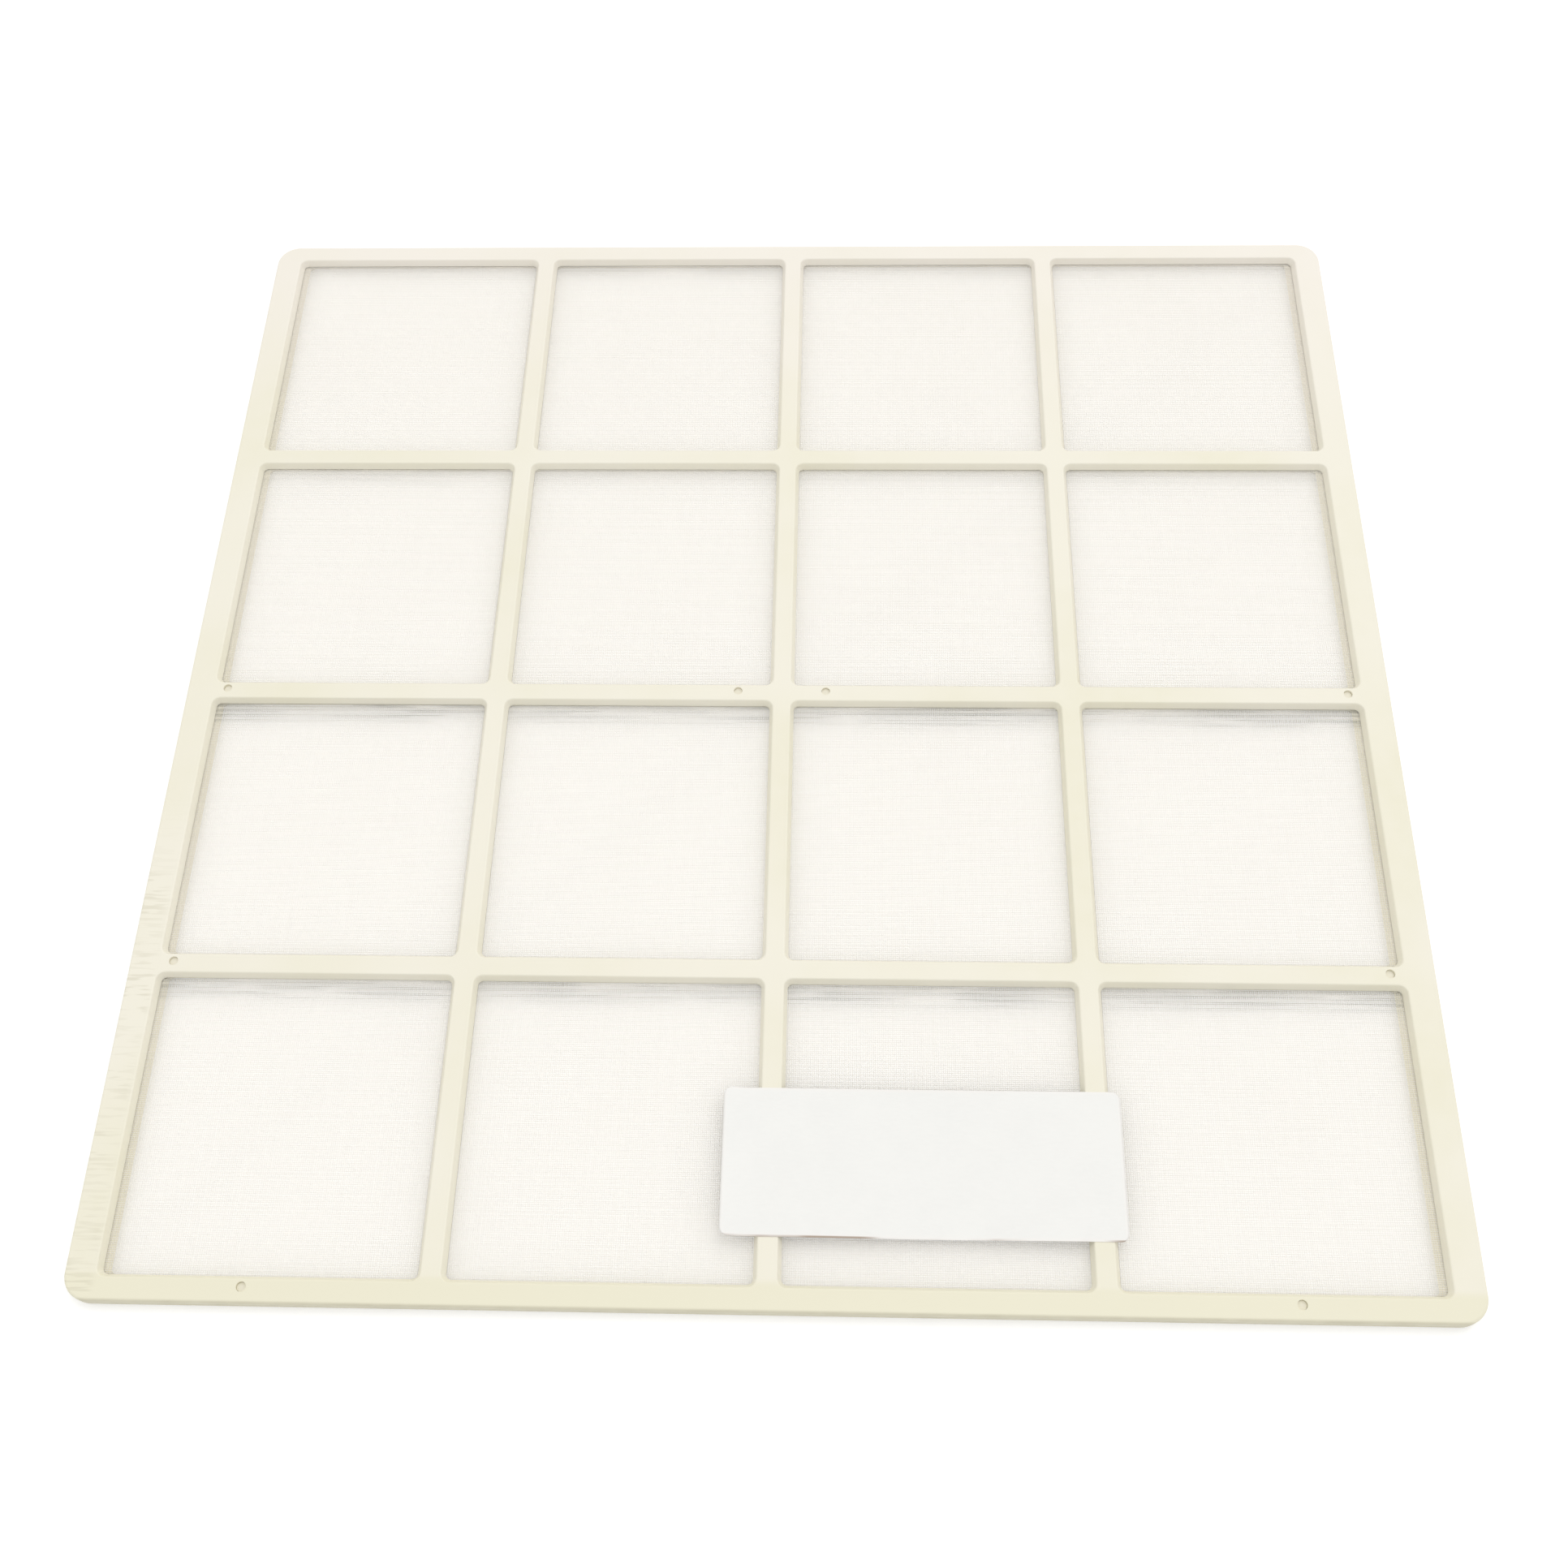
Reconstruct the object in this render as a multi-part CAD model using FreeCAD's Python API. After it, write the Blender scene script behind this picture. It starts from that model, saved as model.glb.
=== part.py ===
import FreeCAD, Part
import os

# Mesh filter panel: two moulded lattice halves that trap one sheet of fine net, and a blank paper label.
# Millimetres, +Z up. X runs along the width and +Y away from the front edge.
# The origin is the middle of the underside.

# Outside of the panel
panel_width = 350.0
panel_depth = 350.0
corner_radius = 7.0
lower_height = 1.9
net_thickness = 0.3
upper_height = 2.0

# Lattice
columns = 4
rows = 4
side_border = 8.0
side_ledge = 3.0
end_border = 6.0
bar_face = 5.0
bar_draft = 1.0
window_radius = 1.5

# Edges
face_round = 0.5
rim_round = 0.8
seam_chamfer = 0.2

# Net in its recess, with a plain grid of openings in each window that stands for its fine gaps
rim_wall = 2.0
net_clearance = 0.3
net_gaps = 3
net_strand_along = 16.0
net_strand_across = 4.0

# Pegs that join the halves, in two of the bars and in the front border
peg_radius = 1.2
peg_sink = 0.7
peg_clearance = 0.05
net_hole_clearance = 0.3
peg_bar_offset = 0.6
peg_front_inset = 4.1
peg_side_inset = 12.0
peg_middle_offset = 12.75
peg_front_side_inset = 45.0

# Paper label, lying across the middle bar and the next one in the front row
label_thickness = 0.15
label_depth = 38.1
label_front_inset = 18.4
label_left_overhang = 12.2
label_right_overhang = 6.15
label_seat_margin = 0.5
label_curl = 1.6
label_sag = 0.8

# Worked out from the sizes above
net_floor = lower_height
parting = lower_height + net_thickness
top = parting + upper_height
column_pitch = (panel_width - 2 * (side_border + side_ledge) + bar_face) / columns
row_pitch = (panel_depth - 2 * end_border + bar_face) / rows
cut_margin = 0.5


def rounded_rectangle(x_low, x_high, y_low, y_high, z, radius):
    """Closed wire of four lines and four quarter arcs, level at height z."""
    corners = [(x_high, y_low, -1, 1), (x_high, y_high, -1, -1), (x_low, y_high, 1, -1), (x_low, y_low, 1, 1)]
    slant = radius * (1 - 0.5 ** 0.5)
    edges = []
    last = FreeCAD.Vector(x_low + radius, y_low, z)
    for index, (x, y, inward_x, inward_y) in enumerate(corners):
        along_x = FreeCAD.Vector(x + inward_x * radius, y, z)
        along_y = FreeCAD.Vector(x, y + inward_y * radius, z)
        start, end = (along_x, along_y) if index % 2 == 0 else (along_y, along_x)
        middle = FreeCAD.Vector(x + inward_x * slant, y + inward_y * slant, z)
        edges.append(Part.LineSegment(last, start).toShape())
        edges.append(Part.Arc(start, middle, end).toShape())
        last = end
    return Part.Wire(edges)


def panel_outline(inset, z):
    """The panel's rounded outline, drawn inset from its outside."""
    x = panel_width / 2 - inset
    y = panel_depth / 2 - inset
    return rounded_rectangle(-x, x, -y, y, z, corner_radius - inset)


def plate(inset, z_low, z_high):
    """Rounded plate whose edge lies inset from the panel's outside."""
    return Part.Face(panel_outline(inset, z_low)).extrude(FreeCAD.Vector(0, 0, z_high - z_low))


def spans(length, count, pitch, border, bar):
    """Low and high limits of each window along one direction."""
    middles = [(index - count / 2) * pitch for index in range(count + 1)]
    lows = [-length / 2 + border] + [middle + bar / 2 for middle in middles[1:-1]]
    highs = [middle - bar / 2 for middle in middles[1:-1]] + [length / 2 - border]
    return list(zip(lows, highs))


def window_cutter(x_span, y_span, z_face, z_net):
    """Tapered block, as wide as the window at the outer face and bar_draft narrower a side at the net."""
    slope = bar_draft / abs(z_face - z_net)
    beyond = cut_margin if z_face > z_net else -cut_margin
    more = slope * cut_margin
    wires = []
    for z, inset in ((z_face + beyond, -more), (z_net - beyond, bar_draft + more)):
        x_low, x_high = x_span[0] + inset, x_span[1] - inset
        y_low, y_high = y_span[0] + inset, y_span[1] - inset
        radius = window_radius + bar_draft - inset
        wires.append(rounded_rectangle(x_low, x_high, y_low, y_high, z, radius))
    return Part.makeLoft(wires, True, True)


def cut_windows(solid, side, z_face, z_net):
    """Lattice left after the windows are cut, with its borders and bars."""
    x_spans = spans(panel_width, columns, column_pitch, side, bar_face)
    y_spans = spans(panel_depth, rows, row_pitch, end_border, bar_face)
    return solid.cut([window_cutter(xs, ys, z_face, z_net) for xs in x_spans for ys in y_spans])


def edges_at(solid, z, outside):
    """Edges that lie level at height z, either round the panel's outside or round its windows."""
    found = []
    for edge in solid.Edges:
        box = edge.BoundBox
        reach_x = panel_width / 2 - max(abs(box.XMin), abs(box.XMax))
        reach_y = panel_depth / 2 - max(abs(box.YMin), abs(box.YMax))
        level = abs(box.ZMin - z) < 1e-6 and abs(box.ZMax - z) < 1e-6
        if level and (min(reach_x, reach_y) < 1e-6) == outside:
            found.append(edge)
    return found


def soften(solid, z_face, z_seam):
    """Round the outer face's edges and break the edge at the seam between the halves."""
    window_round = min(face_round, 0.4 * bar_face)
    solid = solid.makeFillet(window_round, edges_at(solid, z_face, False))
    solid = solid.makeFillet(rim_round, edges_at(solid, z_face, True))
    return solid.makeChamfer(seam_chamfer, edges_at(solid, z_seam, True))


def peg_places():
    """Places of the pegs: the ends of two bars, both sides of the middle crossing, and the front border."""
    side = panel_width / 2 - peg_side_inset
    front_side = panel_width / 2 - peg_front_side_inset
    bar_ys = [peg_bar_offset, peg_bar_offset - row_pitch]
    front_y = -panel_depth / 2 + peg_front_inset
    places = [(x, y) for y in bar_ys for x in (-side, side)]
    places += [(x, peg_bar_offset) for x in (-peg_middle_offset, peg_middle_offset)]
    places += [(x, front_y) for x in (-front_side, front_side)]
    return places


def posts(radius, z_low, z_high):
    """One upright cylinder at each peg's place."""
    height = z_high - z_low
    return [Part.makeCylinder(radius, height, FreeCAD.Vector(x, y, z_low)) for x, y in peg_places()]


def lower_frame():
    """Lower half: lattice with a ledge under the net, a rim round the net's edge, and the pegs."""
    body = plate(0, 0, parting)
    body = body.cut(plate(rim_wall, net_floor, parting + cut_margin))
    body = cut_windows(body, side_border + side_ledge - bar_draft, 0, net_floor)
    body = soften(body, 0, parting)
    return body.fuse(posts(peg_radius, lower_height / 2, top - peg_sink)).removeSplitter()


def upper_frame():
    """Upper half: lattice that clamps the net, with holes for the pegs."""
    body = cut_windows(plate(0, parting, top), side_border, top, parting)
    body = soften(body, top, parting)
    holes = posts(peg_radius + peg_clearance, parting - cut_margin, top + cut_margin)
    return body.cut(holes)


def gap_spans(length, count, pitch, border, strand):
    """Low and high limits of the net's openings along one direction, a strand apart within each window."""
    found = []
    for low, high in spans(length, count, pitch, border, bar_face + 2 * bar_draft):
        step = (high - low) / net_gaps
        starts = [low + index * step for index in range(net_gaps)]
        found += [(start + strand / 2, start + step - strand / 2) for start in starts]
    return found


def net_openings():
    """Outline of each opening in the net, and of the round holes for the pegs."""
    x_gaps = gap_spans(panel_width, columns, column_pitch, side_border + side_ledge, net_strand_along)
    y_gaps = gap_spans(panel_depth, rows, row_pitch, end_border + bar_draft, net_strand_across)
    wires = []
    for x_low, x_high in x_gaps:
        for y_low, y_high in y_gaps:
            corners = [(x_low, y_low), (x_high, y_low), (x_high, y_high), (x_low, y_high), (x_low, y_low)]
            wires.append(Part.makePolygon([FreeCAD.Vector(x, y, net_floor) for x, y in corners]))
    for x, y in peg_places():
        ring = Part.makeCircle(peg_radius + net_hole_clearance, FreeCAD.Vector(x, y, net_floor))
        wires.append(Part.Wire(ring))
    return wires


def filter_net():
    """One sheet of net lying in the lower half's recess, with its openings, pierced by the pegs."""
    outline = panel_outline(rim_wall + net_clearance, net_floor)
    face = Part.makeFace([outline] + net_openings(), "Part::FaceMakerCheese")
    return face.extrude(FreeCAD.Vector(0, 0, net_thickness))


def label_profile():
    """Underside of the label as joined lines and arcs: curled left end, seat, sag between the bars, seat."""
    seat = bar_face / 2 + label_seat_margin
    free = label_left_overhang - seat
    sag_start = seat
    sag_end = column_pitch - seat
    quarter = (sag_end - sag_start) / 4
    sag_radius = (quarter ** 2 + (label_sag / 2) ** 2) / label_sag
    curl_radius = (free ** 2 + label_curl ** 2) / (2 * label_curl)

    def curl(x):
        return top + curl_radius - (curl_radius ** 2 - (x + seat) ** 2) ** 0.5

    def sag(x):
        side = min(x - sag_start, sag_end - x)
        if side < quarter:
            return top - sag_radius + (sag_radius ** 2 - side ** 2) ** 0.5
        return top - label_sag + sag_radius - (sag_radius ** 2 - (2 * quarter - side) ** 2) ** 0.5

    def point(x, z):
        return FreeCAD.Vector(x, 0, z)

    left = -label_left_overhang
    edges = [Part.Arc(*[point(x, curl(x)) for x in (left, (left - seat) / 2, -seat)]).toShape()]
    edges.append(Part.LineSegment(point(-seat, top), point(seat, top)).toShape())
    for begin, end in ((0, 1), (1, 3), (3, 4)):
        stops = [sag_start + stop * quarter for stop in (begin, (begin + end) / 2, end)]
        edges.append(Part.Arc(*[point(x, sag(x)) for x in stops]).toShape())
    right = column_pitch + label_right_overhang
    edges.append(Part.LineSegment(point(sag_end, top), point(right, top)).toShape())
    return edges


def paper_label():
    """Blank paper label resting on two bars of the front row, its free end curled up a little."""
    lower_edges = label_profile()
    lift = FreeCAD.Vector(0, 0, label_thickness)
    upper_edges = [edge.translated(lift) for edge in lower_edges]
    left = lower_edges[0].Vertexes[0].Point
    right = lower_edges[-1].Vertexes[-1].Point
    ends = [Part.LineSegment(right, right + lift).toShape(), Part.LineSegment(left + lift, left).toShape()]
    outline = Part.Wire(Part.__sortEdges__(lower_edges + upper_edges + ends))
    sheet = Part.Face(outline).extrude(FreeCAD.Vector(0, label_depth, 0))
    return sheet.translated(FreeCAD.Vector(0, -panel_depth / 2 + label_front_inset, 0))


os.makedirs("parts", exist_ok=True)
for make in (lower_frame, upper_frame, filter_net, paper_label):
    shape = make()
    solids = shape.Solids
    shape = solids[0] if len(solids) == 1 else shape
    shape.exportStep("parts/" + make.__name__ + ".step")
    print(make.__name__, len(solids), "solids, valid", shape.isValid(), "volume", round(shape.Volume, 1))
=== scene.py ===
"""Mesh filter panel: finish of the moulded lattice, the fine net, the paper label and the stage."""
import math

import bpy
import numpy as np
from bpy.props import FloatProperty, FloatVectorProperty, IntProperty, PointerProperty
from mathutils import Matrix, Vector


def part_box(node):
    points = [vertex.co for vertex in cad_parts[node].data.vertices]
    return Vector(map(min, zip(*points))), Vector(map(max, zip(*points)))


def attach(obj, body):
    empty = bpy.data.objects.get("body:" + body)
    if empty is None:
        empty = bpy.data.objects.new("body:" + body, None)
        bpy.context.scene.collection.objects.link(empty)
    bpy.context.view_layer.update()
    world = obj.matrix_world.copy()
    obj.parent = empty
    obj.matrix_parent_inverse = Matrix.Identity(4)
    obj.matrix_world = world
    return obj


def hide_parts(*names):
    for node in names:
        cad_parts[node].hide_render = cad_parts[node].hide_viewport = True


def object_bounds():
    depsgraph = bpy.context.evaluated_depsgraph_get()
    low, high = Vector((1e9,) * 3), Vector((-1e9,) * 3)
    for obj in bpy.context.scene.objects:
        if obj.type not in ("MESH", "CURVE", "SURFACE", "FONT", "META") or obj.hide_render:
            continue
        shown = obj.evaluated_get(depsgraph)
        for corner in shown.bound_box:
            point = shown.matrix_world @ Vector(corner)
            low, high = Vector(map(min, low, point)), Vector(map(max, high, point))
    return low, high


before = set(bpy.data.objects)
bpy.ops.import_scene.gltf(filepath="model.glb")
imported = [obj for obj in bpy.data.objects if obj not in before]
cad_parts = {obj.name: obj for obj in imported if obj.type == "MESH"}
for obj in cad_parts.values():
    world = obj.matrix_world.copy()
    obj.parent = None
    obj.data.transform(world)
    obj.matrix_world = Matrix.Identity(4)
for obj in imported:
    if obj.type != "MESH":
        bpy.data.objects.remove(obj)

bl_info = {
    "name": "Mesh filter panel",
    "version": (1, 0, 0),
    "blender": (4, 5, 0),
    "location": "3D View > Sidebar > Filter panel",
    "description": "Dresses a flat filter panel: cream lattice, fine net, blank paper label and stage",
    "category": "Object",
}

# Boxes that the frame gives, in metres
CAD_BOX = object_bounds()
NET_LOW, NET_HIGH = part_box("filter_net")
LABEL_LOW, LABEL_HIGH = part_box("paper_label")
UPPER_LOW, UPPER_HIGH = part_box("upper_frame")

# A border's finish has faded out at this many times its width
BORDER_FADE = 1.5


# Shader maths

class Signal:
    """An output socket that takes part in arithmetic: each operator adds one Math node."""

    def __init__(self, nodes, socket):
        self.nodes = nodes
        self.socket = socket

    def math(self, operation, first, second=0.0):
        return self.nodes.add("ShaderNodeMath", {"operation": operation}, {0: first, 1: second})

    def __add__(self, other):
        return self.math("ADD", self, other)

    def __radd__(self, other):
        return self.math("ADD", other, self)

    def __sub__(self, other):
        return self.math("SUBTRACT", self, other)

    def __rsub__(self, other):
        return self.math("SUBTRACT", other, self)

    def __mul__(self, other):
        return self.math("MULTIPLY", self, other)

    def __rmul__(self, other):
        return self.math("MULTIPLY", other, self)

    def __truediv__(self, other):
        return self.math("DIVIDE", self, other)

    def __rtruediv__(self, other):
        return self.math("DIVIDE", other, self)

    def __abs__(self):
        return self.math("ABSOLUTE", self)

    def larger(self, other):
        return self.math("MAXIMUM", self, other)

    def fraction(self):
        return self.math("FRACT", self)


class NodeTree:
    """Adds nodes to the tree of one material or world, and links them."""

    def __init__(self, owner):
        owner.use_nodes = True
        self.tree = owner.node_tree
        self.tree.nodes.clear()

    @staticmethod
    def socket(sockets, key):
        """Socket by its number, its identifier or its name."""
        if isinstance(key, int):
            return sockets[key]
        same = [socket for socket in sockets if socket.identifier == key]
        return same[0] if same else sockets[key]

    def add(self, kind, settings=None, inputs=None, output=0):
        """New node of a type: its settings come first, then its sockets' values or links."""
        node = self.tree.nodes.new(kind)
        for name, value in (settings or {}).items():
            setattr(node, name, value)
        for key, value in (inputs or {}).items():
            socket = self.socket(node.inputs, key)
            if isinstance(value, Signal):
                self.tree.links.new(value.socket, socket)
            else:
                socket.default_value = value
        return Signal(self, self.socket(node.outputs, output)) if node.outputs else node

    def place(self):
        """Object coordinates, in metres."""
        return self.add("ShaderNodeTexCoord", output="Object")

    def axis(self, vector, name):
        """One coordinate of a vector."""
        return self.add("ShaderNodeSeparateXYZ", inputs={"Vector": vector}, output=name)

    def noise(self, vector, size, detail=2.0, stretch=(1.0, 1.0, 1.0)):
        """Noise from 0 to 1 whose blots are about size metres across, longer where stretch is larger."""
        scale = tuple(1.0 / (size * share) for share in stretch)
        scaled = self.add("ShaderNodeMapping", inputs={"Vector": vector, "Scale": scale})
        inputs = {"Vector": scaled, "Scale": 1.0, "Detail": detail}
        return self.add("ShaderNodeTexNoise", inputs=inputs, output="Fac")

    def rise(self, value, low, high):
        """Smooth step from 0 at low to 1 at high."""
        settings = {"interpolation_type": "SMOOTHSTEP"}
        inputs = {"Value": value, "From Min": low, "From Max": high, "To Min": 0.0, "To Max": 1.0}
        return self.add("ShaderNodeMapRange", settings, inputs)

    def fall(self, value, low, high):
        """Smooth step from 1 at low to 0 at high."""
        return 1.0 - self.rise(value, low, high)

    def blots(self, vector, size, low, high, detail=2.0, stretch=(1.0, 1.0, 1.0)):
        """Noise as soft-edged blots: 0 where it is under low and 1 where it is over high."""
        return self.rise(self.noise(vector, size, detail, stretch), low, high)

    def blend(self, share, first, second):
        """Colour between two colours."""
        settings = {"data_type": "RGBA"}
        inputs = {"Factor_Float": share, "A_Color": first, "B_Color": second}
        return self.add("ShaderNodeMix", settings, inputs, output="Result_Color")

    def bump(self, height, depth, beneath=None):
        """Normal of a surface raised by height times depth metres, over the normal beneath it, if any."""
        inputs = {"Height": height, "Distance": depth}
        if beneath is not None:
            inputs["Normal"] = beneath
        return self.add("ShaderNodeBump", inputs=inputs)


def opaque(colour):
    """Colour with full alpha."""
    return (*colour, 1.0)


def new_material(name):
    """Empty node material and its tree."""
    material = bpy.data.materials.new(name)
    return material, NodeTree(material)


def finish_material(nodes, shader):
    """Link a shader to the material's output."""
    nodes.add("ShaderNodeOutputMaterial", inputs={"Surface": shader})


# Settings

def colour_setting(name, description, default):
    """Property for a colour."""
    return FloatVectorProperty(name=name, description=description, subtype="COLOR", default=default)


def length_setting(name, description, default):
    """Property for a length or a place, in metres."""
    return FloatProperty(name=name, description=description, unit="LENGTH", default=default)


def share_setting(name, description, default):
    """Property for a share, from 0 to 1."""
    return FloatProperty(name=name, description=description, subtype="FACTOR", default=default,
                         min=0.0, max=1.0)


def angle_setting(name, description, degrees):
    """Property for an angle."""
    return FloatProperty(name=name, description=description, subtype="ANGLE", default=math.radians(degrees))


def count_setting(name, description, default, least):
    """Property for a whole number."""
    return IntProperty(name=name, description=description, default=default, min=least)


class PlasticSettings(bpy.types.PropertyGroup):
    """Cream moulded plastic of the lattice."""

    colour: colour_setting("Colour", "Colour of the fresh plastic", (0.885, 0.848, 0.725))
    aged_colour: colour_setting("Aged colour", "Colour where the plastic has yellowed", (0.84, 0.805, 0.63))
    faded_colour: colour_setting("Faded colour", "Colour of the paler back border", (0.90, 0.852, 0.765))
    # Dust and painted shade where the bars meet the net share this colour
    dust_and_shade_colour: colour_setting("Dust colour", "Colour of the dust by the net", (0.78, 0.745, 0.64))
    # Painted shade on the front wall shares this colour with the rubbed strokes
    front_shade_and_stroke_colour: colour_setting("Grime colour", "Colour of the grime and the strokes", (0.60, 0.56, 0.42))
    # Painted shade on the pegs' ends, down in their holes
    peg_shade_colour: colour_setting("Peg colour", "Colour of the pressed ends of the pegs", (0.83, 0.79, 0.66))
    ageing_size: length_setting("Ageing size", "Size of the yellowed areas", 0.06)
    front_ageing: share_setting("Front ageing", "How far the front border has yellowed", 1.0)
    front_border: length_setting("Front border", "Depth of the front border", 0.006)
    fade_start: length_setting("Fade start", "Place along Y where the plastic starts to fade", 0.08)
    fade_end: length_setting("Fade end", "Place along Y where the plastic has faded", 0.17)
    # Strength and height of the dust and painted shade where the bars meet the net
    dust: share_setting("Dust", "How much dust lies where the bars meet the net", 0.12)
    dust_and_shade_height: length_setting("Dust height", "Height above and below the net where the dust ends", 0.0012)
    # Depth of the painted shade on the front wall
    front_shade_depth: length_setting("Grime depth", "How far from the front edge the grime ends", 0.001)
    scuff: share_setting("Scuff", "How dark the rubbed strokes on the left border are", 0.42)
    stroke_width: length_setting("Stroke width", "Width of a rubbed stroke", 0.0009)
    stroke_patch: length_setting("Stroke patch", "Size of the patches of rubbed strokes", 0.014)
    rubbed_border: length_setting("Rubbed border", "Width of the left border that is rubbed", 0.006)
    rubbed_full: length_setting("Rubbed full", "Place along Y up to which the strokes are full", -0.08)
    rubbed_end: length_setting("Rubbed end", "Place along Y behind which there are no strokes", -0.03)
    # Where and how softly the painted shade on the pegs comes in
    peg_margin: length_setting("Peg margin", "How far above the seam the pegs' colour starts", 0.0003)
    peg_blend: length_setting("Peg blend", "Height over which the pegs' colour comes in", 0.0002)
    roughness: share_setting("Roughness", "Mean roughness of the satin face", 0.46)
    mottle_size: length_setting("Mottle size", "Size of the flow marks in the pigment", 0.006)
    grain_size: length_setting("Grain size", "Size of the moulded grain", 0.0005)
    grain_depth: length_setting("Grain depth", "Depth of the moulded grain", 0.00001)
    flow_depth: length_setting("Flow depth", "Depth of the slow waves in the faces", 0.00012)


class NetSettings(bpy.types.PropertyGroup):
    """Fine net of straight threads in two layers."""

    pitch: length_setting("Pitch", "Distance between neighbouring threads", 0.00055)
    uneven: share_setting("Uneven", "Share of the pitch by which a thread may stray", 0.12)
    corner_radius: length_setting("Corner radius", "Radius of the sheet's corners", 0.0047)
    sides: count_setting("Sides", "Sides of each thread", 8, 3)
    seed: count_setting("Seed", "Start of the random strays", 4, 0)
    colour: colour_setting("Colour", "Colour of the threads", (0.955, 0.94, 0.908))
    dusty_colour: colour_setting("Dusty colour", "Colour of threads that hold dust", (0.933, 0.913, 0.878))
    # Dust and painted shadow before the bars that run across: its colour, strength, reach, fade and patches
    dust_and_shadow_colour: colour_setting("Caught colour", "Colour of the caught dust", (0.32, 0.31, 0.24))
    caught: share_setting("Caught dust", "How much dust the threads before the bars have caught", 0.65)
    dust_and_shadow_reach: length_setting("Caught reach", "How far before a bar the caught dust ends", 0.0115)
    dust_and_shadow_fade: length_setting("Caught fade", "Place along Y behind which little dust is caught", 0.06)
    dust_and_shadow_patch: length_setting("Caught patch", "Size of the patches of caught dust", 0.045)
    line_threads: count_setting("Line threads", "Threads from one line of caught dust to the next", 3, 1)
    bar_spacing: length_setting("Bar spacing", "Distance between the bars that run across", 0.08575)
    settled_size: length_setting("Settled size", "Size of the areas where dust has settled", 0.035)
    streak_width: length_setting("Streak width", "Width of the streaks along the threads", 0.0009)
    translucency: share_setting("Translucency", "Share of the light that goes on through a thread", 0.6)
    roughness: share_setting("Roughness", "Roughness of the threads", 0.65)
    gloss: share_setting("Gloss", "Specular level of the threads", 0.2)


class LabelSettings(bpy.types.PropertyGroup):
    """Blank paper label across two bars."""

    thickness: length_setting("Thickness", "Thickness of the paper", 0.00015)
    corner_radius: length_setting("Corner radius", "Radius of the label's corners", 0.002)
    bar_spacing: length_setting("Bar spacing", "Distance between the two bars under the label", 0.08325)
    seat: length_setting("Seat", "Half the width of paper that lies flat on a bar", 0.003)
    lift: length_setting("Lift", "Glue under the label", 0.00002)
    back_curl: share_setting("Back curl", "Curl of the back left corner as a share of the front one", 0.55)
    back_sag: share_setting("Back sag", "Sag of the back edge as a share of the front one", 0.5)
    columns: count_setting("Columns", "Points along the label", 161, 2)
    rows: count_setting("Rows", "Points across the label", 49, 2)
    colour: colour_setting("Colour", "Colour of the paper", (0.910, 0.905, 0.872))
    fibre_colour: colour_setting("Fibre colour", "Colour of the denser fibres", (0.890, 0.886, 0.855))
    edge_colour: colour_setting("Edge colour", "Colour of the cut edge", (0.93, 0.90, 0.86))
    edge_width: length_setting("Edge width", "Width of the handled edge", 0.0012)
    # The line along the label's front edge is adhesive and painted shade
    glue_and_shade_colour: colour_setting("Soiled colour", "Colour of the front glue line", (0.45, 0.36, 0.29))
    glue_and_shade_width: length_setting("Soiled width", "Width of the glue line at the front edge", 0.0006)
    glue_and_shade_patch: length_setting("Soiled patch", "Size of the breaks in the glue line", 0.02)
    cloud_size: length_setting("Cloud size", "Size of the cloudy areas in the paper", 0.009)
    fibre_size: length_setting("Fibre size", "Width of a fibre", 0.0007)
    tooth_depth: length_setting("Tooth depth", "Depth of the paper's tooth", 0.00004)
    roughness: share_setting("Roughness", "Roughness of the paper", 0.72)
    gloss: share_setting("Gloss", "Specular level of the paper", 0.3)


class StageSettings(bpy.types.PropertyGroup):
    """Floor, light and camera."""

    camera_place: FloatVectorProperty(name="Camera place", description="Where the camera stands",
                                      subtype="TRANSLATION", default=(0.01734, -0.25193, 0.43223))
    camera_yaw: angle_setting("Camera yaw", "Turn of the view from +Y towards +X", -4.14)
    camera_pitch: angle_setting("Camera pitch", "Tilt of the view below the horizon", 62.521)
    camera_roll: angle_setting("Camera roll", "Roll of the camera about its view", 3.259)
    lens: FloatProperty(name="Lens", description="Focal length of the camera", unit="CAMERA", default=39.20)
    sensor: FloatProperty(name="Sensor", description="Width of the sensor", unit="CAMERA", default=36.0)
    floor_size: length_setting("Floor size", "Side of the floor", 12.0)
    floor_colour: colour_setting("Floor colour", "Colour of the floor", (0.90, 0.90, 0.90))
    floor_glow: FloatProperty(name="Floor glow", description="Light that the floor adds where it is seen",
                              default=0.27)
    ambient: FloatProperty(name="Ambient", description="Even light from all round", default=0.84)
    key_side: FloatVectorProperty(name="Key side", description="Direction from the panel to the key light",
                                  subtype="DIRECTION", default=(0.30, 0.60, 1.0))
    key_angle: angle_setting("Key angle", "How wide the soft key light looks from the panel", 50.0)
    key_strength: FloatProperty(name="Key strength", description="Strength of the key light", default=0.65)


class PanelSettings(bpy.types.PropertyGroup):
    """All settings of the filter panel."""

    plastic: PointerProperty(type=PlasticSettings)
    net: PointerProperty(type=NetSettings)
    label: PointerProperty(type=LabelSettings)
    stage: PointerProperty(type=StageSettings)


# Materials

def rubbed_strokes(nodes, place, look):
    """Short strokes in patches across the left border, in the half of it that is nearer the front."""
    from_left = nodes.axis(place, "X") - CAD_BOX[0].x
    border = nodes.fall(from_left, look.rubbed_border, look.rubbed_border * BORDER_FADE)
    nearer = nodes.fall(nodes.axis(place, "Y"), look.rubbed_full, look.rubbed_end)
    strokes = nodes.blots(place, look.stroke_width, 0.50, 0.64, 1.0, (9.0, 1.0, 1.0))
    patches = 0.35 + 0.65 * nodes.blots(place, look.stroke_patch, 0.40, 0.60, 1.0)
    return border * nearer * strokes * patches * look.scuff


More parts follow.
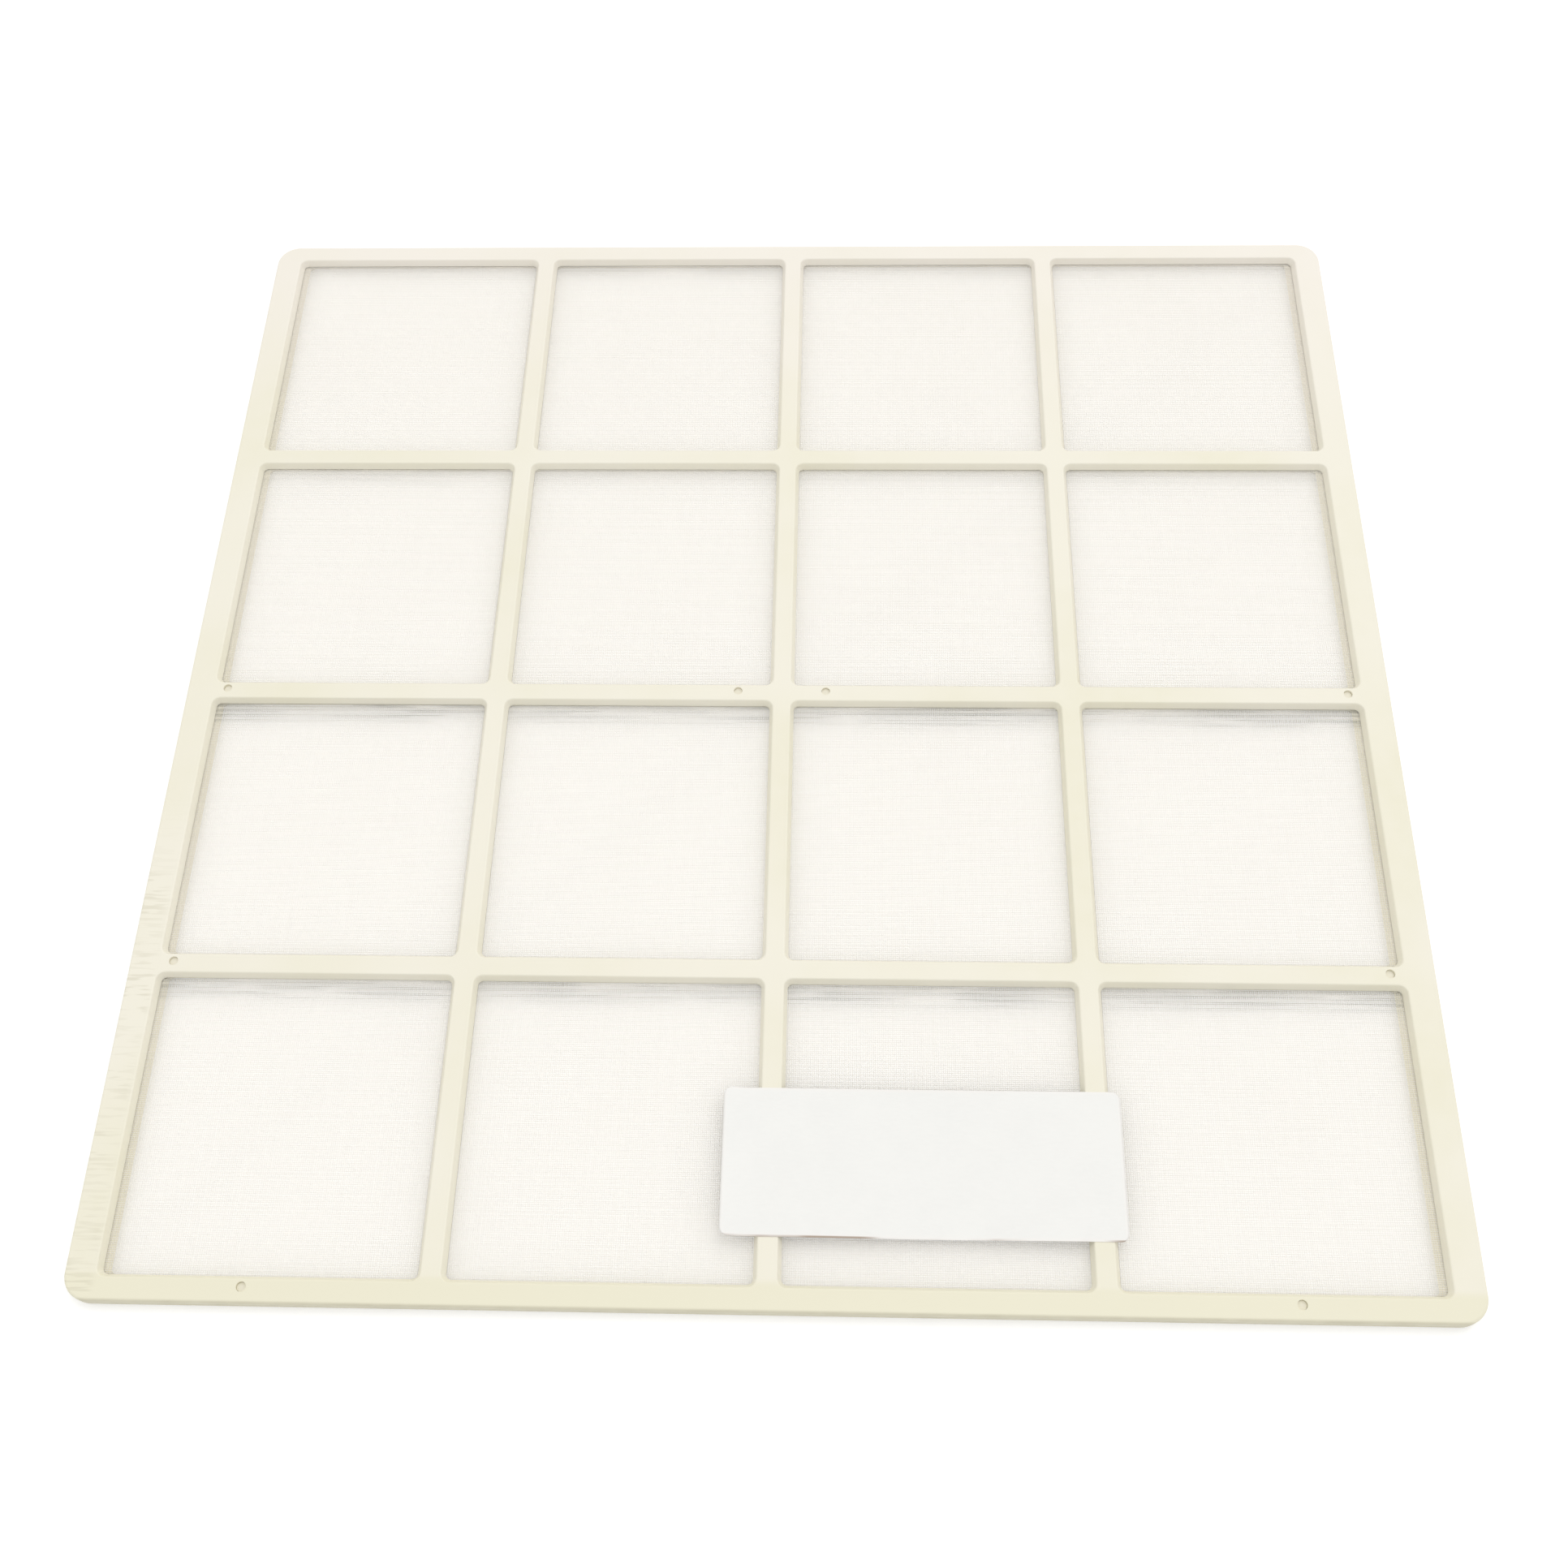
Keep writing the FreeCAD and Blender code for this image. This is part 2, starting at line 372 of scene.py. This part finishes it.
def cream_plastic(name, look, peg_height=None):
    """Satin plastic: slow yellowing, a paler back, flow marks, dust and painted shade where the bars meet
    the net, painted shade on the front wall, rubbed strokes on the left border and, above peg_height,
    painted shade on the pegs in their holes."""
    material, nodes = new_material(name)
    place = nodes.place()
    height = nodes.axis(place, "Z")
    depth = nodes.axis(place, "Y")
    from_front = depth - CAD_BOX[0].y
    mottle = nodes.noise(place, look.mottle_size, 3.0, (1.0, 1.0, 0.4))
    patchy = 0.35 + 0.6 * mottle

    faded = nodes.rise(depth, look.fade_start, look.fade_end)
    front = nodes.fall(from_front, look.front_border, look.front_border * BORDER_FADE)
    ageing = nodes.blots(place, look.ageing_size, 0.35, 0.70) * patchy
    ageing = ageing.larger(front * look.front_ageing) * (1.0 - 0.7 * faded)
    # Dust and painted shade on the walls just above and below the net, where the bars meet it
    net_middle = (NET_LOW.z + NET_HIGH.z) / 2
    near_net = nodes.fall(abs(height - net_middle), (NET_HIGH.z - NET_LOW.z) / 2, look.dust_and_shade_height)
    dust = near_net * look.dust * (0.55 + 0.9 * mottle)
    # Painted shade on the front wall, within a millimetre of the front edge, joined with the rubbed strokes
    # on the left border
    wall = nodes.fall(from_front, look.front_shade_depth * 0.2, look.front_shade_depth)
    front_shade_and_strokes = (wall * patchy).larger(rubbed_strokes(nodes, place, look))

    colour = nodes.blend(faded, opaque(look.colour), opaque(look.faded_colour))
    colour = nodes.blend(ageing, colour, opaque(look.aged_colour))
    colour = nodes.blend(dust, colour, opaque(look.dust_and_shade_colour))
    colour = nodes.blend(front_shade_and_strokes, colour, opaque(look.front_shade_and_stroke_colour))
    # Painted shade on the pegs, which are seen only down their holes above the seam
    if peg_height is not None:
        peg_shade = nodes.rise(height, peg_height, peg_height + look.peg_blend)
        colour = nodes.blend(peg_shade * (0.7 + 0.3 * mottle), colour, opaque(look.peg_shade_colour))
    roughness = look.roughness + 0.16 * (mottle - 0.5) + 0.2 * dust
    waves = nodes.bump(nodes.noise(place, look.ageing_size * 0.4, 1.0), look.flow_depth)
    relief = nodes.bump(nodes.noise(place, look.grain_size), look.grain_depth, waves)
    finish_material(nodes, nodes.add("ShaderNodeBsdfPrincipled", inputs={
        "Base Color": colour, "Roughness": roughness, "Normal": relief}))
    return material


def dust_and_shadow_before_bars(nodes, place, look):
    """Broken lines of dust and painted shadow along the threads just before each bar that runs across,
    fainter at the back.
    """
    depth = nodes.axis(place, "Y")
    before = look.bar_spacing * (-1.0 * depth / look.bar_spacing).fraction()
    zone = nodes.fall(before, look.dust_and_shadow_reach * 0.6, look.dust_and_shadow_reach)
    from_line = abs((depth / (look.line_threads * look.pitch)).fraction() - 0.5)
    lines = nodes.fall(from_line, 0.16, 0.30)
    broken = nodes.blots(place, 2 * look.pitch, 0.38, 0.52, 2.0, (25.0, 1.0, 1.0))
    patches = 0.6 + 0.4 * nodes.blots(place, look.dust_and_shadow_patch, 0.42, 0.62, 1.0)
    nearer = 1.0 - 0.7 * nodes.rise(depth, 0.0, look.dust_and_shadow_fade)
    return zone * (0.3 + 0.7 * lines) * broken * patches * nearer * look.caught


def net_plastic(look):
    """Pale threads that let light through, duller where dust has settled and dark with dust and painted
    shadow before the bars.
    """
    material, nodes = new_material("net_plastic")
    place = nodes.place()
    settled = nodes.blots(place, look.settled_size, 0.40, 0.75, 3.0)
    along_y = nodes.noise(place, look.streak_width, 1.0, (1.0, 14.0, 1.0))
    along_x = nodes.noise(place, look.streak_width, 1.0, (14.0, 1.0, 1.0))
    # Dust and painted shadow before the bars, which also holds back the light through the threads there
    caught = dust_and_shadow_before_bars(nodes, place, look)
    duller = settled * 0.6 + along_y * along_x * 0.5
    colour = nodes.blend(duller, opaque(look.colour), opaque(look.dusty_colour))
    colour = nodes.blend(caught, colour, opaque(look.dust_and_shadow_colour))
    roughness = look.roughness + 0.2 * settled
    solid = nodes.add("ShaderNodeBsdfPrincipled", inputs={
        "Base Color": colour, "Roughness": roughness, "Specular IOR Level": look.gloss})
    through = nodes.add("ShaderNodeBsdfTranslucent", inputs={"Color": opaque(look.colour)})
    share = look.translucency * (1.0 - caught)
    finish_material(nodes, nodes.add("ShaderNodeMixShader", inputs={0: share, 1: solid, 2: through}))
    return material


def label_paper(look):
    """Uncoated paper: cloudy fibres, fine tooth, a paler handled edge and a broken line of adhesive and
    painted shade along the front edge.
    """
    material, nodes = new_material("label_paper")
    place = nodes.place()
    cloud = nodes.noise(place, look.cloud_size, 4.0)
    fibre = nodes.noise(place, look.fibre_size, 3.0, (3.0, 1.0, 1.0))
    dense = nodes.rise(0.6 * cloud + 0.4 * fibre, 0.35, 0.70)
    edge = nodes.add("ShaderNodeAttribute", {"attribute_name": "edge"}, output="Fac")
    handled = nodes.fall(edge, 0.0, look.edge_width)
    # Painted shade along the front edge, in a broken line with the adhesive
    from_front = nodes.axis(place, "Y") - LABEL_LOW.y
    glue_and_shade = nodes.fall(from_front, look.glue_and_shade_width * 0.4, look.glue_and_shade_width)
    glue_and_shade = glue_and_shade * nodes.blots(place, look.glue_and_shade_patch, 0.35, 0.60)
    colour = nodes.blend(dense, opaque(look.colour), opaque(look.fibre_colour))
    colour = nodes.blend(handled * (0.3 + 0.6 * cloud), colour, opaque(look.edge_colour))
    colour = nodes.blend(glue_and_shade, colour, opaque(look.glue_and_shade_colour))
    roughness = look.roughness + 0.2 * (fibre - 0.5)
    relief = nodes.bump(0.6 * fibre + 0.4 * cloud, look.tooth_depth)
    finish_material(nodes, nodes.add("ShaderNodeBsdfPrincipled", inputs={
        "Base Color": colour, "Roughness": roughness, "Normal": relief, "Specular IOR Level": look.gloss}))
    return material


def seen_directly(nodes):
    """1 on camera, glossy and transmission rays, and 0 on the rays that light the object."""
    camera = nodes.add("ShaderNodeLightPath", output="Is Camera Ray")
    glossy = nodes.add("ShaderNodeLightPath", output="Is Glossy Ray")
    through = nodes.add("ShaderNodeLightPath", output="Is Transmission Ray")
    return camera.larger(glossy).larger(through)


def floor_paint(look):
    """Pale matt floor, with a little more light where it is seen so that it reads as white."""
    material, nodes = new_material("floor_paint")
    matt = nodes.add("ShaderNodeBsdfDiffuse", inputs={"Color": opaque(look.floor_colour)})
    glow = nodes.add("ShaderNodeEmission", inputs={"Strength": seen_directly(nodes) * look.floor_glow})
    finish_material(nodes, nodes.add("ShaderNodeAddShader", inputs={0: matt, 1: glow}))
    return material


# Shapes

def new_piece(name, points, faces, smooth, material):
    """Mesh object at the origin from arrays of points and faces."""
    mesh = bpy.data.meshes.new(name)
    mesh.from_pydata(points.reshape(-1, 3).tolist(), [], faces)
    mesh.polygons.foreach_set("use_smooth", smooth)
    mesh.materials.append(material)
    mesh.validate()
    mesh.update()
    piece = bpy.data.objects.new(name, mesh)
    bpy.context.scene.collection.objects.link(piece)
    return piece


def rounded_reach(across, half_across, half_along, radius):
    """Half length of a rounded rectangle along one direction, at places across it: the full half length
    less the bite of the corner, which is the radius less the height of a circle of that radius there."""
    into_corner = np.clip(np.abs(across) - (half_across - radius), 0.0, radius)
    return half_along - radius + np.sqrt(radius ** 2 - into_corner ** 2)


def thread_offsets(low, high, pitch, uneven, random):
    """Places of threads across the sheet: even steps, each strayed by a random share of the pitch."""
    count = int((high - low) / pitch) - 1
    even = (low + high) / 2 + (np.arange(count) - (count - 1) / 2) * pitch
    return even + random.uniform(-uneven, uneven, count) * pitch


def thread_prisms(offsets, reach, height, radius, sides, lengthwise):
    """Prisms along the threads: a ring of points at even angles round the thread's line, at both its ends.
    The ring runs the other way on threads along Y, so that all faces point outwards."""
    angle = np.pi / 2 + np.arange(sides) * 2 * np.pi / sides
    turn = -1.0 if lengthwise else 1.0
    shape = (len(offsets), 2, sides)
    along = np.broadcast_to(np.array([-1.0, 1.0])[None, :, None] * reach[:, None, None], shape)
    across = np.broadcast_to(offsets[:, None, None] + turn * radius * np.cos(angle), shape)
    up = np.broadcast_to(height + radius * np.sin(angle), shape)
    return np.stack([across, along, up] if lengthwise else [along, across, up], axis=-1)


def prism_faces(count, sides):
    """Side faces and end faces of count prisms, whose rings of points follow one another."""
    ring = np.arange(sides)
    after = (ring + 1) % sides
    starts = 2 * sides * np.arange(count)
    walls = np.stack([ring, after, sides + after, sides + ring], axis=1)
    walls = (starts[:, None, None] + walls).reshape(-1, 4)
    ends = np.stack([ring[::-1], sides + ring])
    ends = (starts[:, None, None] + ends).reshape(-1, sides)
    return walls.tolist() + ends.tolist()


def net_threads(sizes):
    """Two layers of threads, one along X over one along Y, each half as thick as the sheet."""
    random = np.random.default_rng(sizes.seed)
    radius = (NET_HIGH.z - NET_LOW.z) / 4
    layers = []
    for lengthwise, height in ((True, NET_LOW.z + radius), (False, NET_HIGH.z - radius)):
        across, along = (0, 1) if lengthwise else (1, 0)
        offsets = thread_offsets(NET_LOW[across], NET_HIGH[across], sizes.pitch, sizes.uneven, random)
        reach = rounded_reach(offsets, NET_HIGH[across], NET_HIGH[along], sizes.corner_radius)
        layers.append(thread_prisms(offsets, reach, height, radius, sizes.sides, lengthwise))
    return np.concatenate(layers)


def label_height(x, depth_share, sizes):
    """Underside of the label: an arc that curls up before the first bar, level on the bars, and one wave of
    a cosine that sags between them. Curl and sag grow from the back edge, 1, to the front edge, 0."""
    top = UPPER_HIGH.z + sizes.lift
    curl = LABEL_HIGH.z - sizes.thickness - top
    sag = UPPER_HIGH.z - LABEL_LOW.z
    free = -sizes.seat - LABEL_LOW.x
    radius = (free ** 2 + curl ** 2) / (2 * curl)
    before = np.clip(-sizes.seat - x, 0.0, free)
    between = np.clip((x - sizes.seat) / (sizes.bar_spacing - 2 * sizes.seat), 0.0, 1.0)
    rise = (radius - np.sqrt(radius ** 2 - before ** 2)) * (1 - (1 - sizes.back_curl) * depth_share)
    dip = sag * (0.5 - 0.5 * np.cos(2 * np.pi * between)) * (1 - (1 - sizes.back_sag) * depth_share)
    return top + rise - dip


def label_sheet(sizes):
    """Closed sheet: a grid over a rectangle with rounded corners, whose rows crowd towards the front and
    back edges as a sine does, set at label_height below and one thickness higher above. Also gives how far
    each point lies from the cut edge."""
    middle = (LABEL_LOW + LABEL_HIGH) / 2
    half_width = (LABEL_HIGH.x - LABEL_LOW.x) / 2
    half_depth = (LABEL_HIGH.y - LABEL_LOW.y) / 2
    y = half_depth * np.sin(np.linspace(-np.pi / 2, np.pi / 2, sizes.rows))
    reach = rounded_reach(y, half_depth, half_width, sizes.corner_radius)
    x = np.linspace(-1.0, 1.0, sizes.columns)[None, :] * reach[:, None]
    y = np.broadcast_to(y[:, None], x.shape)
    edge = np.minimum(half_width - np.abs(x), half_depth - np.abs(y))
    x, y = x + middle.x, y + middle.y
    under = label_height(x, (y - LABEL_LOW.y) / (2 * half_depth), sizes)
    points = np.stack([np.stack([x, y, under + rise], axis=-1) for rise in (0.0, sizes.thickness)])
    return points, np.stack([edge, edge])


def sheet_faces(rows, columns):
    """Faces of a closed sheet of two grids, the lower first: lower, upper and the wall round the edge."""
    above = rows * columns
    lower = np.arange(above).reshape(rows, columns)
    upper = lower + above
    lower_faces = np.stack([lower[:-1, :-1], lower[1:, :-1], lower[1:, 1:], lower[:-1, 1:]], axis=-1)
    upper_faces = np.stack([upper[:-1, :-1], upper[:-1, 1:], upper[1:, 1:], upper[1:, :-1]], axis=-1)
    round_edge = np.concatenate([lower[0, :-1], lower[:-1, -1], lower[-1, :0:-1], lower[:0:-1, 0]])
    next_edge = np.roll(round_edge, -1)
    walls = np.stack([round_edge, next_edge, next_edge + above, round_edge + above], axis=-1)
    grids = np.concatenate([lower_faces.reshape(-1, 4), upper_faces.reshape(-1, 4)])
    return np.concatenate([grids, walls]).tolist(), len(grids), len(walls)


def camera_turn(yaw, pitch, roll):
    """Camera axes as columns: right, up and back. The view turns by yaw, tilts by pitch, then rolls."""
    forward = np.array([
        math.sin(yaw) * math.cos(pitch), math.cos(yaw) * math.cos(pitch), -math.sin(pitch)])
    level = np.array([math.cos(yaw), -math.sin(yaw), 0.0])
    up = np.cross(level, forward)
    right = math.cos(roll) * level - math.sin(roll) * up
    above = math.sin(roll) * level + math.cos(roll) * up
    return np.stack([right, above, -forward], axis=1)


# Operators

class FILTERPANEL_OT_finish_frame(bpy.types.Operator):
    """Give both halves of the lattice their cream plastic."""

    bl_idname = "filterpanel.finish_frame"
    bl_label = "Finish the lattice"

    def execute(self, context):
        look = context.scene.filter_panel.plastic
        peg_height = UPPER_LOW.z + look.peg_margin
        finishes = {
            "upper_frame": cream_plastic("cream_plastic_upper", look),
            "lower_frame": cream_plastic("cream_plastic_lower", look, peg_height),
        }
        for node, material in finishes.items():
            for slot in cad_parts[node].material_slots:
                slot.material = material
        return {"FINISHED"}


class FILTERPANEL_OT_lay_net(bpy.types.Operator):
    """Lay the net of threads between the halves."""

    bl_idname = "filterpanel.lay_net"
    bl_label = "Lay the net"

    def execute(self, context):
        sizes = context.scene.filter_panel.net
        points = net_threads(sizes)
        faces = prism_faces(len(points), sizes.sides)
        flat_shaded = np.zeros(len(faces), dtype=bool)
        net = new_piece("net", points, faces, flat_shaded, net_plastic(sizes))
        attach(net, "root")
        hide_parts("filter_net")
        return {"FINISHED"}


class FILTERPANEL_OT_lay_label(bpy.types.Operator):
    """Lay the blank paper label on its two bars."""

    bl_idname = "filterpanel.lay_label"
    bl_label = "Lay the label"

    def execute(self, context):
        sizes = context.scene.filter_panel.label
        points, edge = label_sheet(sizes)
        faces, grids, walls = sheet_faces(sizes.rows, sizes.columns)
        smooth = np.repeat([True, False], [grids, walls])
        label = new_piece("label", points, faces, smooth, label_paper(sizes))
        attribute = label.data.attributes.new("edge", "FLOAT", "POINT")
        attribute.data.foreach_set("value", edge.ravel())
        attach(label, "root")
        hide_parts("paper_label")
        return {"FINISHED"}


class FILTERPANEL_OT_set_stage(bpy.types.Operator):
    """Lay the floor, hang the light and place the camera."""

    bl_idname = "filterpanel.set_stage"
    bl_label = "Set the stage"

    def execute(self, context):
        look = context.scene.filter_panel.stage
        self.lay_floor(look)
        self.light_world(context.scene, look)
        self.hang_key(context.scene, look)
        self.place_camera(context.scene, look)
        context.scene.view_settings.view_transform = "Standard"
        return {"FINISHED"}

    @staticmethod
    def lay_floor(look):
        """Square floor under the panel."""
        corners = np.array([[-1, -1, 0], [1, -1, 0], [1, 1, 0], [-1, 1, 0]]) * look.floor_size / 2
        corners[:, 2] = CAD_BOX[0].z
        new_piece("floor", corners, [[0, 1, 2, 3]], [False], floor_paint(look))

    @staticmethod
    def light_world(scene, look):
        """Even light from all round, and white where it is seen directly past the floor."""
        world = bpy.data.worlds.new("soft_surround")
        nodes = NodeTree(world)
        plain = opaque((1.0, 1.0, 1.0))
        even = nodes.add("ShaderNodeBackground", inputs={"Color": plain, "Strength": look.ambient})
        white = nodes.add("ShaderNodeBackground", inputs={"Color": plain, "Strength": 1.0})
        mixed = nodes.add("ShaderNodeMixShader", inputs={0: seen_directly(nodes), 1: even, 2: white})
        nodes.add("ShaderNodeOutputWorld", inputs={"Surface": mixed})
        scene.world = world

    @staticmethod
    def hang_key(scene, look):
        """Wide, soft light from above, a little from behind the panel and from its right."""
        lamp = bpy.data.lights.new("key", "SUN")
        lamp.angle = look.key_angle
        lamp.energy = look.key_strength
        key = bpy.data.objects.new("key", lamp)
        key.location = look.key_side
        key.rotation_euler = (-key.location).to_track_quat("-Z", "Y").to_euler()
        scene.collection.objects.link(key)

    @staticmethod
    def place_camera(scene, look):
        """Camera where the photograph was taken from."""
        lens = bpy.data.cameras.new("camera")
        lens.sensor_width = look.sensor
        lens.lens = look.lens
        camera = bpy.data.objects.new("camera", lens)
        turn = camera_turn(look.camera_yaw, look.camera_pitch, look.camera_roll)
        camera.matrix_world = Matrix.Translation(look.camera_place) @ Matrix(turn.tolist()).to_4x4()
        scene.collection.objects.link(camera)
        scene.camera = camera


class FILTERPANEL_PT_sidebar(bpy.types.Panel):
    """Settings and steps of the filter panel."""

    bl_label = "Filter panel"
    bl_space_type = "VIEW_3D"
    bl_region_type = "UI"
    bl_category = "Filter panel"

    def draw(self, context):
        settings = context.scene.filter_panel
        for name, step in STEPS:
            box = self.layout.box()
            group = getattr(settings, name)
            for key in group.bl_rna.properties.keys():
                if key not in ("rna_type", "name"):
                    box.prop(group, key)
            box.operator(step.bl_idname)


STEPS = (
    ("plastic", FILTERPANEL_OT_finish_frame),
    ("net", FILTERPANEL_OT_lay_net),
    ("label", FILTERPANEL_OT_lay_label),
    ("stage", FILTERPANEL_OT_set_stage),
)
GROUPS = (PlasticSettings, NetSettings, LabelSettings, StageSettings, PanelSettings)
CLASSES = GROUPS + tuple(step for name, step in STEPS) + (FILTERPANEL_PT_sidebar,)


def register():
    """Add the classes, and the settings to every scene."""
    for item in CLASSES:
        bpy.utils.register_class(item)
    bpy.types.Scene.filter_panel = PointerProperty(type=PanelSettings)


def unregister():
    """Remove what register added."""
    del bpy.types.Scene.filter_panel
    for item in reversed(CLASSES):
        bpy.utils.unregister_class(item)


def main():
    """Run every step in order."""
    register()
    bpy.ops.filterpanel.finish_frame()
    bpy.ops.filterpanel.lay_net()
    bpy.ops.filterpanel.lay_label()
    bpy.ops.filterpanel.set_stage()


if __name__ == "__main__":
    main()
